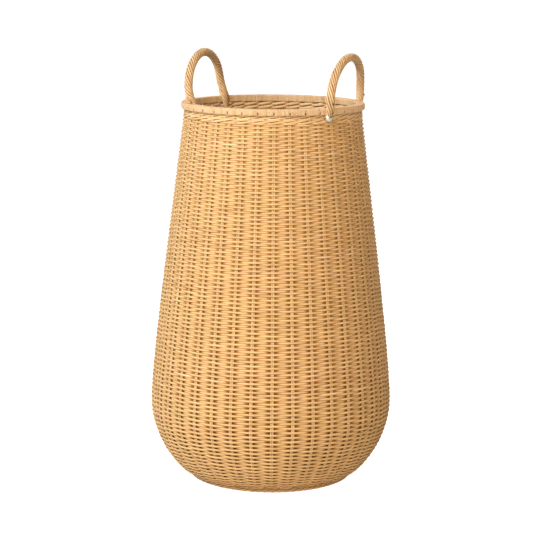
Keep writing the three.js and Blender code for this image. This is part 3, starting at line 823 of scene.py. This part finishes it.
def lapping_profile():
    """The path of a turn of cane round both hoops, as radius and height, and its outward normal."""
    outer, inner = RIM_OUTSIDE - CANE_DEPTH, RIM_INSIDE + CANE_DEPTH
    top, bottom = RIM_TOP - CANE_DEPTH, RIM_UNDERSIDE + CANE_DEPTH
    corners = ((outer, top, -1, -1), (inner, top, 1, -1), (inner, bottom, 1, 1), (outer, bottom, -1, 1))
    edges = []
    for quarter, (size, (x, z, aside, up)) in enumerate(zip(ROUNDINGS, corners, strict=True)):
        for share in (0.0, 0.33, 0.67, 1.0):
            turn = math.radians(90 * quarter + 90 * share)
            across = x + aside * size + size * math.cos(turn)
            edges.append((across, z + up * size + size * math.sin(turn)))
    edges = np.array(edges)
    loop = []
    for here, there in zip(edges, np.roll(edges, -1, axis=0), strict=True):
        count = max(1, round(np.linalg.norm(there - here) / PROFILE_STEP))
        loop += [here + (there - here) * share for share in np.arange(count) / count]
    loop = np.array(loop)
    tangent = unit(np.roll(loop, -1, axis=0) - np.roll(loop, 1, axis=0))
    return loop, gather(tangent[:, 1], -tangent[:, 0])


def make_lapping():
    bundle = Bundle()
    loop, normal = lapping_profile()
    level = (loop[:, 1] - RIM_UNDERSIDE - SLOT_RISE) / SLOT_HALF
    outside = np.clip((loop[:, 0] - NECK_RADIUS) / SLOT_EASE, 0, 1)
    part = PART + SLOT_SHARE * outside * np.exp(-(level**4))
    section = [(-across, up) for across, up in reversed(CANE_HALF)] + CANE_HALF
    across, up = np.array(section).T
    for pair in range(PAIRS):
        for wrap in range(WRAPS):
            middle = part + (1 - 2 * part) * (wrap + 0.5) / WRAPS
            angle = bearing(pair + middle + rng.normal(0, WRAP_WANDER))
            share = (1 - 2 * part) / WRAPS * WRAP_OVERLAP * rng.uniform(*WRAP_WIDTHS)
            raised = up + rng.uniform(*WRAP_HEIGHTS)
            places = loop[:, None] + normal[:, None] * raised[:, None]
            turn = angle[:, None] + across * share[:, None] * PITCH
            rings = round_points(places[..., 0], turn, places[..., 1])
            bundle.add(rings[:, ::-1], rng.uniform(), closed=True)
    dress(bundle.build("rim_lapping"), lapping_finish, "lapping_cane", "rim_lapping")


# Handles: strands laid round a bow, which fan out flat at its feet

STRANDS = 8
STRAND_SIDES = 10
STRAND_RADIUS = 1.9
STRAND_RING = ROPING_RADIUS - 0.2 - STRAND_RADIUS
STRAND_CROWN = 1.04  # a strand's width, as a share of its thickness
LAY = -66.0  # one turn of a strand round the bow; they climb to the left as seen
LAY_WOBBLE, STRAND_WOBBLE = (12, 0.035), (14, 0.03)
BOW_SAMPLES, ROPING_STEP = 60, 2.0  # samples in each span of a bow's line, and a roping's step
SMOOTHING_ROUNDS, FIRST_ROUNDS = 40, 8  # the first rounds smooth the feet too
SMOOTHING_START = 3.0  # the others begin this far above the rim
FACING_HEIGHT = 20.0  # below the shoulders the strands' ring turns to face out over this height
FULL_WIDTH, TIP_SHARE = 5.0, 0.72  # where the ring is narrower, the strands thin out to this share
LAYER_PUSH = 1.7  # how soon a strand of a flat foot goes from one layer to the other
# how dark the painted shade is in the grooves between the roping's strands
ROPING_SHADE = 0.8

# A fanned foot's rows, from its tip to the bow's own line: radius, height, and the strands' ring,
# which is deep by wide, and flat where the strands lie side by side in two layers
RIGHT_FAN = [
    (157.8, 637.8, 1.6, 2.0, 1.0),
    (157.8, 641.0, 1.7, 3.2, 1.0),
    (157.8, 645.0, 1.7, 4.2, 1.0),
    (162.6, 651.0, 1.6, 5.2, 1.0),
    (164.3, 657.0, 3.4, 6.2, 0.6),
    (165.1, 663.0, 5.2, 5.7, 0.1),
    (165.1, 670.0, 5.4, 5.4, 0.0),
]
LEFT_FAN = [
    (141.2, 638.6, 1.2, 2.2, 1.0),
    (141.2, 643.0, 1.2, 4.0, 1.0),
    (141.2, 650.0, 1.2, 5.2, 1.0),
    (141.4, 657.0, 1.2, 6.0, 1.0),
    (142.6, 661.2, 1.3, 6.0, 1.0),
    (145.4, 664.6, 2.2, 5.9, 0.8),
    (148.6, 668.0, 3.8, 5.7, 0.4),
    (151.2, 672.5, 5.2, 5.5, 0.1),
    (152.6, 679.0, 5.4, 5.4, 0.0),
]


def spline(corners):
    """The centripetal spline through the corners that three.js draws."""
    corners = np.array(corners)
    ends = [2 * corners[0] - corners[1], *corners, 2 * corners[-1] - corners[-2]]
    share = np.linspace(0, 1, BOW_SAMPLES, endpoint=False)[:, None]
    spans = []
    for before, here, there, beyond in zip(ends, ends[1:], ends[2:], ends[3:]):
        chords = ((before, here), (here, there), (there, beyond))
        first, middle, last = (math.sqrt(np.linalg.norm(end - start)) for start, end in chords)
        over_first, over_last = (there - before) / (first + middle), (beyond - here) / (middle + last)
        leave = ((here - before) / first - over_first + (there - here) / middle) * middle
        reach = ((there - here) / middle - over_last + (beyond - there) / last) * middle
        cubic = 2 * here - 2 * there + leave + reach
        square = -3 * here + 3 * there - 2 * leave - reach
        spans.append(cubic * share**3 + square * share**2 + leave * share + here)
    return np.concatenate([*spans, corners[-1:]])


def bow_line(height, lean, end_radius, stand, foot_pitches, shoulder):
    """A bow's centre line, from one foot over the arch to the other, as in the CAD source. Stand is
    its legs' lowest bend, as radius and height, and shoulder is where they turn into the arch, as
    radius and pitches."""
    shoulder_height = RIM_TOP + LEG_HEIGHT
    arch = height - ROPING_RADIUS - LEG_HEIGHT
    leg_x, half_chord = round_points(shoulder[0], shoulder[1] * PITCH, 0.0)[:2]
    half = [
        round_points(end_radius, foot_pitches * PITCH, RIM_TOP - BOW_TUCK),
        round_points(stand[0], foot_pitches * PITCH, RIM_TOP + stand[1]),
    ]
    for turn in (0, math.pi / 6, math.pi / 3):
        x = leg_x + lean * math.sin(turn)
        half.append((x, half_chord * math.cos(turn), shoulder_height + arch * math.sin(turn)))
    crown = (leg_x + lean, 0, shoulder_height + arch)
    return spline([*half, crown, *[(x, -y, z) for x, y, z in reversed(half)]])


def roping_line(line, foot_angle, fan):
    """The roping from tip to tip: its places and its ring's deep, wide and flat, and how far along
    it each one is. Above the fan's last row it follows the bow's own line."""
    radius, height, *ring = np.array(fan).T
    foot = np.column_stack([round_points(radius, foot_angle, height), *ring])
    arch = line[line[:, 2] > height[-1] + 1]
    arch = np.column_stack([arch, np.full((len(arch), 2), STRAND_RING), np.zeros(len(arch))])
    other_foot = (foot * [1, -1, 1, 1, 1, 1])[::-1]
    columns = np.concatenate([foot, arch, other_foot])
    lengths = distances(columns[:, :3])
    at = np.linspace(0, lengths[-1], int(lengths[-1] / ROPING_STEP) + 1)
    columns = between(at, lengths, columns)
    for smoothing in range(SMOOTHING_ROUNDS):
        smooth = (columns[:-2] + 2 * columns[1:-1] + columns[2:]) / 4
        lowest = 0 if smoothing < FIRST_ROUNDS else RIM_TOP + SMOOTHING_START
        columns[1:-1] = np.where(columns[1:-1, 2:3] > lowest, smooth, columns[1:-1])
    return columns, at


def make_roping(name, own_side, line, foot_angle, fan):
    """The strands round a bow that stands at +X, turned to the handle's own side."""
    columns, at = roping_line(line, foot_angle, fan)
    path, (deep, wide, flat) = columns[:, :3], columns[:, 3:].T
    aim = np.clip((RIM_TOP + LEG_HEIGHT - path[:, 2]) / FACING_HEIGHT, 0, 1) * foot_angle
    outward = round_points(1.0, aim * np.sign(path[:, 1]), 0.0)
    tangent = unit(np.gradient(path, axis=0))
    outward = unit(outward - (outward * tangent).sum(-1, keepdims=True) * tangent)
    beside = np.cross(tangent, outward)
    taper = np.clip(wide / FULL_WIDTH, TIP_SHARE, 1)
    # painted shade in the grooves between strands, on the sides that turn from the front
    painted_shade = ROPING_SHADE * turned_shade(STRAND_SIDES, 0.97, 0.75) ** 1.4
    bundle = Bundle()
    for strand in range(STRANDS):
        turn = FULL_TURN * (strand / STRANDS + at / LAY) + noise(len(at), *LAY_WOBBLE)
        even = 1 - 2 * np.abs(((turn / math.pi + 0.5) % 2) - 1)  # a triangle wave in step with sin
        pushed = np.clip(LAYER_PUSH * np.cos(turn), -1, 1)
        sideways = wide * ((1 - flat) * np.sin(turn) + flat * even)
        outwards = deep * ((1 - flat) * np.cos(turn) + flat * pushed)
        centre_line = path + outward * outwards[:, None] + beside * sideways[:, None]
        radius = STRAND_RADIUS * taper * (1 + noise(len(at), *STRAND_WOBBLE))
        across = centre_line - path + 1e-6  # never zero
        rings = rod_rings(centre_line, across, radius, radius * STRAND_CROWN, STRAND_SIDES)
        bundle.add(rings, rng.uniform(), painted_shade=painted_shade)
    piece = bundle.build(name)
    piece.data.transform(Matrix.Rotation(own_side, 4, "Z"))
    dress(piece, roping_finish, "roping_cane", name)


# Studs and brads: domed heads on round shanks

HEAD_SIDES = 28
HEAD_ROWS = 9
SHANK_SHARE = 0.3  # a shank's radius, as a share of its head's


def make_head(name, radius, height, shank, seat, angle, level, facing=1):
    """A domed head with its shank, seated at a radius and facing out from the basket, or in (-1)."""
    bundle = Bundle()
    turn = np.linspace(0, math.pi / 2 * 0.985, HEAD_ROWS)
    profile = [(-shank, 0.02), (-shank, SHANK_SHARE * radius), (-0.02, SHANK_SHARE * radius)]
    profile += [(-0.02, radius * 0.94), (0.05 * height, radius)]
    profile += [(height * math.sin(rise), radius * math.cos(rise)) for rise in turn[1:]]
    depth, reach = np.array(profile).T[:, :, None]
    swing = turns_of(HEAD_SIDES)
    rings = gather(seat + facing * depth, reach * np.cos(swing), reach * np.sin(swing))
    bundle.add(rings[:, ::facing], 0.5)
    piece = bundle.build(name)
    piece.data.transform(Matrix.Rotation(angle, 4, "Z"))
    piece.data.transform(Matrix.Translation((0, 0, level * MM)))
    return piece


def make_stud(name, angle):
    """A stud at a foot of the right handle. Its shank reaches the middle of the wall."""
    seat = TAIL_SURFACE + CLEARANCE
    shank = seat - NECK_RADIUS + HALF_WALL
    piece = make_head(name, STUD_RADIUS, STUD_HEIGHT, shank, seat, angle, RIM_TOP - STUD_DROP)
    dress(piece, stud_finish, "stud_metal", name)


def make_brad(name, line, rise, angle, facing):
    """A brad in a leg of the bow with this line, on its outer side (1) or its inner (-1)."""
    level = RIM_TOP + rise
    leg = line[np.argmin(np.abs(line[: len(line) // 2, 2] - level))]
    seat = np.hypot(*leg[:2]) + facing * ROPING_RADIUS
    piece = make_head(name, BRAD_RADIUS, BRAD_HEIGHT, BRAD_SHANK, seat, angle, level, facing)
    dress(piece, brad_finish, "brad_metal", name)


def make_handles():
    """The right handle stands at +X, and the left one at -X."""
    right_line, left_line = bow_line(**RIGHT_BOW), bow_line(**LEFT_BOW)
    right_angle, left_angle = RIGHT_BOW["foot_pitches"] * PITCH, LEFT_BOW["foot_pitches"] * PITCH
    make_roping("handle_roping_right", 0, right_line, right_angle, RIGHT_FAN)
    make_roping("handle_roping_left", math.pi, left_line, left_angle, LEFT_FAN)
    for foot, end in ((1, "rear"), (-1, "front")):
        make_stud(f"stud_right_{end}", foot * right_angle)
        make_brad(f"brad_right_{end}", right_line, RIGHT_BRAD_RISE, foot * right_angle, 1)
    for foot, end in ((1, "front"), (-1, "rear")):
        make_brad(f"brad_left_{end}", left_line, LEFT_BRAD_RISE, math.pi + foot * left_angle, -1)


def show_cores():
    """The hoops and bows under the wraps are shown as the CAD nodes that they are."""
    for node in ("rim_outer_hoop", "rim_inner_hoop", "handle_bow_right", "handle_bow_left"):
        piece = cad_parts[node]
        piece.data.materials.clear()
        piece.data.materials.append(core_finish)


# The photograph's camera. Lengths are in metres from here on.

CAMERA_AZIMUTH = math.radians(16.4)
CAMERA_DISTANCE = 3.3
CAMERA_HEIGHT = 0.938
CAMERA_PITCH = math.radians(9.87)
CAMERA_ROLL = math.radians(0.46)
CAMERA_LENS, SENSOR_WIDTH = 127.07, 36
FOCAL_PIXELS = 1906  # the lens, in pixels of a frame 540 wide
AXIS_RIGHT_OF_CENTRE = 1.7  # in the same pixels


def make_camera():
    data = bpy.data.cameras.new("camera")
    data.lens = CAMERA_LENS
    data.sensor_width = SENSOR_WIDTH
    data.sensor_fit = "HORIZONTAL"
    camera = add_object("camera", data)
    camera.location = (
        CAMERA_DISTANCE * math.sin(CAMERA_AZIMUTH),
        -CAMERA_DISTANCE * math.cos(CAMERA_AZIMUTH),
        CAMERA_HEIGHT,
    )
    yaw = math.atan(AXIS_RIGHT_OF_CENTRE / FOCAL_PIXELS)
    aim = Euler((math.pi / 2 - CAMERA_PITCH, 0, CAMERA_AZIMUTH + yaw)).to_matrix()
    camera.rotation_euler = (aim @ Matrix.Rotation(CAMERA_ROLL, 3, "Z")).to_euler()
    bpy.context.scene.camera = camera
    bpy.context.scene.view_settings.view_transform = "Standard"


# The stage: a pale floor, dim light from the room and four soft lights

FLOOR_HALF = 40
FLOOR_GREY = (0.5, 0.5, 0.5, 1)
FLOOR_GLOW, FLOOR_SEEN = 0.25, 0.97  # its light on the basket, and what the camera sees
SHADOW_INSIDE = (FOOT_RADIUS - 2 * FOOT_BORDER_WIDTH) * MM  # the floor's painted shadow under the basket is full inside this
SHADOW_OUTSIDE = (FOOT_RADIUS - FOOT_BORDER_WIDTH / 2) * MM
ROOM_COLOUR, ROOM_SEEN = (1, 0.8, 0.58, 1), 1.1
WALL_LIGHT, CEILING_LIGHT = 0.26, 0.25
WALLS_END, CEILING_START = 0.25, 0.8  # heights on a ball round the basket
LIGHT_DISTANCE = 4.5
LIGHT_AIM = 0.45  # height that the lights are aimed at
# Each light's name and strength, then in degrees the angle that it fills, its angle from overhead
# and its angle from the camera's own side, and its colour
LIGHTS = (
    ("key", 2.25, 20, 54, -42, (1, 1.1, 1.23)),
    ("side", 1.45, 50, 58, -84, (1, 1.08, 1.18)),
    ("front", 2.4, 28, 67, 3, (1, 0.855, 0.67)),
    ("back", 1.25, 50, 52, 165, (1, 0.97, 0.92)),
)


def make_floor():
    """A floor that looks white but sends little light back up, with a painted shadow under the basket."""
    nodes = Nodes(bpy.data.materials.new("pale_floor"))
    glow = nodes.remap(nodes.source("ShaderNodeLightPath", "Is Camera Ray"), FLOOR_GLOW, FLOOR_SEEN)
    places = {0: nodes.source("ShaderNodeTexCoord", "Object")}
    away = nodes.add("ShaderNodeVectorMath", places, operation="LENGTH").outputs["Value"]
    # A painted shadow: the floor's glow fades out under the basket
    clear = nodes.remap(away, 0.0, 1.0, SHADOW_INSIDE, SHADOW_OUTSIDE)
    glow = nodes.add("ShaderNodeMath", {0: glow, 1: clear}, operation="MULTIPLY")
    fill(nodes.shader, {
        "Base Color": FLOOR_GREY,
        "Roughness": 0.9,
        "Emission Color": (*WHITE, 1),
        "Emission Strength": glow.outputs["Value"],
    })
    mesh = bpy.data.meshes.new("floor")
    corners = [(x * FLOOR_HALF, y * FLOOR_HALF, 0) for x, y in ((-1, -1), (1, -1), (1, 1), (-1, 1))]
    mesh.from_pydata(corners, [], [(0, 1, 2, 3)])
    mesh.materials.append(nodes.owner)
    floor = add_object("floor", mesh)


def make_room():
    """Dim warm light from all round. The camera sees white instead."""
    nodes = Nodes(bpy.data.worlds.new("studio"))
    height = nodes.height(nodes.source("ShaderNodeTexCoord", "Generated"))
    strength = nodes.remap(height, WALL_LIGHT, CEILING_LIGHT, WALLS_END, CEILING_START)
    room = nodes.all["Background"]
    fill(room, {"Color": ROOM_COLOUR, "Strength": strength})
    seen = nodes.add("ShaderNodeBackground", {"Color": (*WHITE, 1), "Strength": ROOM_SEEN})
    by_camera = nodes.source("ShaderNodeLightPath", "Is Camera Ray")
    mix = nodes.add("ShaderNodeMixShader", {0: by_camera, 1: room.outputs[0], 2: seen.outputs[0]})
    fill(nodes.all["World Output"], {"Surface": mix.outputs["Shader"]})
    bpy.context.scene.world = nodes.owner


def make_light(name, strength, softness, tilt, turn, colour):
    """A round light, aimed at the basket."""
    light = bpy.data.lights.new(name, "AREA")
    light.shape = "DISK"
    light.energy = strength * math.pi * LIGHT_DISTANCE**2
    light.color = colour
    light.size = 2 * LIGHT_DISTANCE * math.tan(math.radians(softness / 2))
    aim = Euler((math.radians(tilt), 0, math.radians(turn) + CAMERA_AZIMUTH)).to_matrix()
    box = add_object(name, light)
    box.rotation_euler = aim.to_euler()
    box.location = aim @ Vector((0, 0, LIGHT_DISTANCE)) + Vector((0, 0, LIGHT_AIM))
    box.visible_camera = False


make_stakes()
make_side_weave()
make_wale("top_wale", TOP_WALE_CENTRES, TOP_WALE_RISE)
make_wale("upsett_wale", UPSETT_WALE_CENTRES, UPSETT_WALE_RISE)
make_base_sticks()
make_base_weave()
make_foot_border()
make_lapping()
make_handles()
show_cores()
make_floor()
make_room()
for settings in LIGHTS:
    make_light(*settings)
make_camera()
